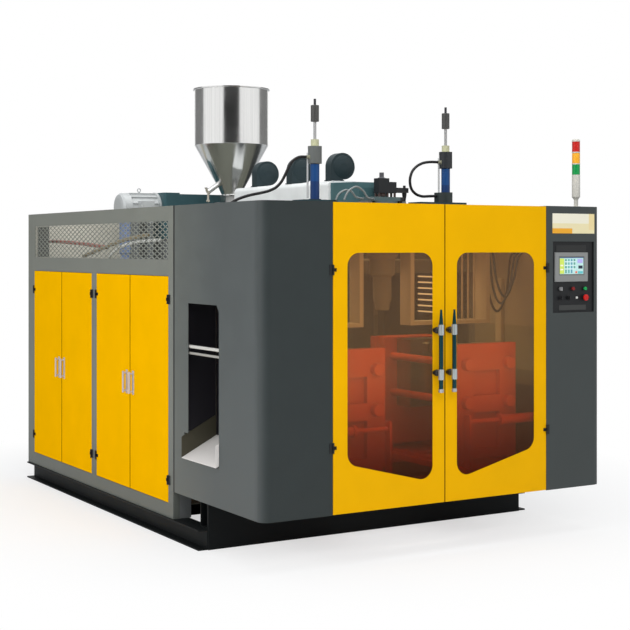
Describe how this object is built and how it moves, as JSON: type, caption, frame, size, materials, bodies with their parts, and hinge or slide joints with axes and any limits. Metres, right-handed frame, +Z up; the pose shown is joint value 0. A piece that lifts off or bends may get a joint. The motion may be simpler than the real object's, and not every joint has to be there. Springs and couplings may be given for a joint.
{
  "type": "blow moulding machine",
  "caption": "Enclosed double-station extrusion blow moulding machine with hinged window doors, hopper, blow pins and sliding mould clamps.",
  "frame": {"origin": "centre of the four anchor bolts, on the floor under the base beams", "axes": "+Z up, +Y from the window doors to the rear, +X to the right for someone facing the doors"},
  "size_m": [2.5575, 3.9835, 3.066],
  "materials": {
    "base_black": "semi-matt",
    "frame_grey": "satin",
    "ground_steel": "ground",
    "casing_grey": "satin",
    "mesh_steel": "expanded sheet",
    "door_yellow": "satin",
    "amber_pane": "tinted",
    "handle_chrome": "polished",
    "hinge_black": "semi-matt",
    "hopper_steel": "brushed",
    "lever_beige": "satin",
    "cover_white": "satin",
    "blower_black": "semi-matt",
    "unit_teal": "satin",
    "motor_silver": "satin",
    "head_dark": "dark",
    "frame_beige": "satin",
    "cylinder_blue": "gloss",
    "rod_chrome": "polished",
    "hose_rubber": "plain",
    "clamp_orange": "satin",
    "mould_alloy": "machined",
    "panel_dark": "satin",
    "screen_glass": "gloss",
    "button_red": "gloss",
    "button_green": "gloss",
    "button_dark_red": "gloss",
    "selector_silver": "satin",
    "selector_dark": "satin",
    "tower_pale": "satin",
    "tower_lens": "gloss",
    "chute_white": "satin"
  },
  "bodies": {
    "machine": {"barrel": "ground_steel", "barrel_covers": "cover_white", "base_beams": "base_black", "bed_rails": "ground_steel", "blow_cylinders": "cylinder_blue", "blow_frames": "frame_beige", "cabinet_face": "casing_grey", "control_box": "panel_dark", "control_casing": "casing_grey", "cooling_blowers": "blower_black", "die_head": "head_dark", "discharge_chute": "chute_white", "door_hinges": "hinge_black", "drive_motor": "motor_silver", "electrical_plate": "panel_dark", "extruder_stand": "frame_grey", "front_corner_casing": "casing_grey", "gearbox": "unit_teal", "head_carrier": "frame_grey", "hopper": "hopper_steel", "hydraulic_hoses": "hose_rubber", "hydraulic_unit": "unit_teal", "inner_plates": "frame_grey", "machine_frame": "frame_grey", "outer_panels": "casing_grey", "screen": "screen_glass", "shift_cylinders": "clamp_orange", "tower_body": "tower_pale", "tower_lenses": "tower_lens", "vent_mesh": "mesh_steel"},
    "left_door": {"left_door": "door_yellow", "left_window": "amber_pane", "left_handle": "handle_chrome"},
    "right_door": {"right_door": "door_yellow", "right_window": "amber_pane", "right_handle": "handle_chrome"},
    "side_door_1": {"side_door_1": "door_yellow"},
    "side_door_2": {"side_door_2": "door_yellow"},
    "side_door_3": {"side_door_3": "door_yellow"},
    "side_door_4": {"side_door_4": "door_yellow"},
    "carriage_left": {"carriage_left": "clamp_orange"},
    "carriage_right": {"carriage_right": "clamp_orange"},
    "clamp_left": {"clamp_frame_left": "clamp_orange", "front_mould_left": "mould_alloy"},
    "clamp_right": {"clamp_frame_right": "clamp_orange", "front_mould_right": "mould_alloy"},
    "rear_left": {"rear_platen_left": "clamp_orange", "rear_mould_left": "mould_alloy"},
    "rear_right": {"rear_platen_right": "clamp_orange", "rear_mould_right": "mould_alloy"},
    "blow_rod_left": {"blow_rod_left": "rod_chrome"},
    "blow_rod_right": {"blow_rod_right": "rod_chrome"},
    "screw": {"extruder_screw": "ground_steel"},
    "drain_gate": {"drain_gate": "lever_beige"},
    "emergency_stop": {"emergency_stop": "button_red"},
    "start_button": {"start_button": "button_green"},
    "stop_button": {"stop_button": "button_dark_red"},
    "mode_selector": {"mode_selector": "selector_silver"},
    "shift_selector": {"shift_selector": "selector_dark"},
    "clamp_selector": {"clamp_selector": "selector_dark"}
  },
  "joints": [
    {"name": "left_door_hinge", "type": "hinge", "parent": "machine", "child": "left_door", "pos_m": [-0.7935, -2.341, 1.2], "axis": [0, 0, -1], "range_deg": [0, 110]},
    {"name": "right_door_hinge", "type": "hinge", "parent": "machine", "child": "right_door", "pos_m": [0.7935, -2.341, 1.2], "axis": [0, 0, 1], "range_deg": [0, 110]},
    {"name": "side_door_1_hinge", "type": "hinge", "parent": "machine", "child": "side_door_1", "pos_m": [-1.261, -1.0965, 0.9], "axis": [0, 0, 1], "range_deg": [0, 90]},
    {"name": "side_door_2_hinge", "type": "hinge", "parent": "machine", "child": "side_door_2", "pos_m": [-1.261, 0.1115, 0.9], "axis": [0, 0, -1], "range_deg": [0, 90]},
    {"name": "side_door_3_hinge", "type": "hinge", "parent": "machine", "child": "side_door_3", "pos_m": [-1.261, 0.2035, 0.9], "axis": [0, 0, 1], "range_deg": [0, 90]},
    {"name": "side_door_4_hinge", "type": "hinge", "parent": "machine", "child": "side_door_4", "pos_m": [-1.261, 1.4165, 0.9], "axis": [0, 0, -1], "range_deg": [0, 90]},
    {"name": "carriage_left_slide", "type": "slide", "parent": "machine", "child": "carriage_left", "axis": [1, 0, 0], "range_m": [0, 0.505]},
    {"name": "carriage_right_slide", "type": "slide", "parent": "machine", "child": "carriage_right", "axis": [1, 0, 0], "range_m": [-0.505, 0]},
    {"name": "clamp_left_slide", "type": "slide", "parent": "carriage_left", "child": "clamp_left", "axis": [0, 1, 0], "range_m": [0, 0.2197]},
    {"name": "rear_left_slide", "type": "slide", "parent": "carriage_left", "child": "rear_left", "axis": [0, -1, 0], "range_m": [0, 0.2197]},
    {"name": "blow_rod_left_slide", "type": "slide", "parent": "machine", "child": "blow_rod_left", "axis": [0, 0, -1], "range_m": [0, 0.11]},
    {"name": "clamp_right_slide", "type": "slide", "parent": "carriage_right", "child": "clamp_right", "axis": [0, 1, 0], "range_m": [0, 0.2197]},
    {"name": "rear_right_slide", "type": "slide", "parent": "carriage_right", "child": "rear_right", "axis": [0, -1, 0], "range_m": [0, 0.2197]},
    {"name": "blow_rod_right_slide", "type": "slide", "parent": "machine", "child": "blow_rod_right", "axis": [0, 0, -1], "range_m": [0, 0.11]},
    {"name": "screw_spin", "type": "hinge", "parent": "machine", "child": "screw", "pos_m": [0, 0, 2.085], "axis": [0, 1, 0], "continuous": true},
    {"name": "drain_gate_hinge", "type": "hinge", "parent": "machine", "child": "drain_gate", "pos_m": [-0.22312, 0.454, 2.2966], "axis": [0, 1, 0], "range_deg": [0, 80]},
    {"name": "emergency_stop_press", "type": "slide", "parent": "machine", "child": "emergency_stop", "axis": [0, 1, 0], "range_m": [0, 0.0035], "stiffness_N_per_m": 800},
    {"name": "start_button_press", "type": "slide", "parent": "machine", "child": "start_button", "axis": [0, 1, 0], "range_m": [0, 0.0035], "stiffness_N_per_m": 500},
    {"name": "stop_button_press", "type": "slide", "parent": "machine", "child": "stop_button", "axis": [0, 1, 0], "range_m": [0, 0.0035], "stiffness_N_per_m": 500},
    {"name": "mode_selector_turn", "type": "hinge", "parent": "machine", "child": "mode_selector", "pos_m": [0.915, -2.33, 1.572], "axis": [0, -1, 0], "range_deg": [-45, 45]},
    {"name": "shift_selector_turn", "type": "hinge", "parent": "machine", "child": "shift_selector", "pos_m": [0.915, -2.33, 1.514], "axis": [0, -1, 0], "range_deg": [-45, 45]},
    {"name": "clamp_selector_turn", "type": "hinge", "parent": "machine", "child": "clamp_selector", "pos_m": [0.982, -2.33, 1.514], "axis": [0, -1, 0], "range_deg": [-45, 45]}
  ],
  "couplings": [
    {"joint": "rear_left_slide", "follows": "clamp_left_slide", "ratio": 1},
    {"joint": "rear_right_slide", "follows": "clamp_right_slide", "ratio": 1}
  ]
}
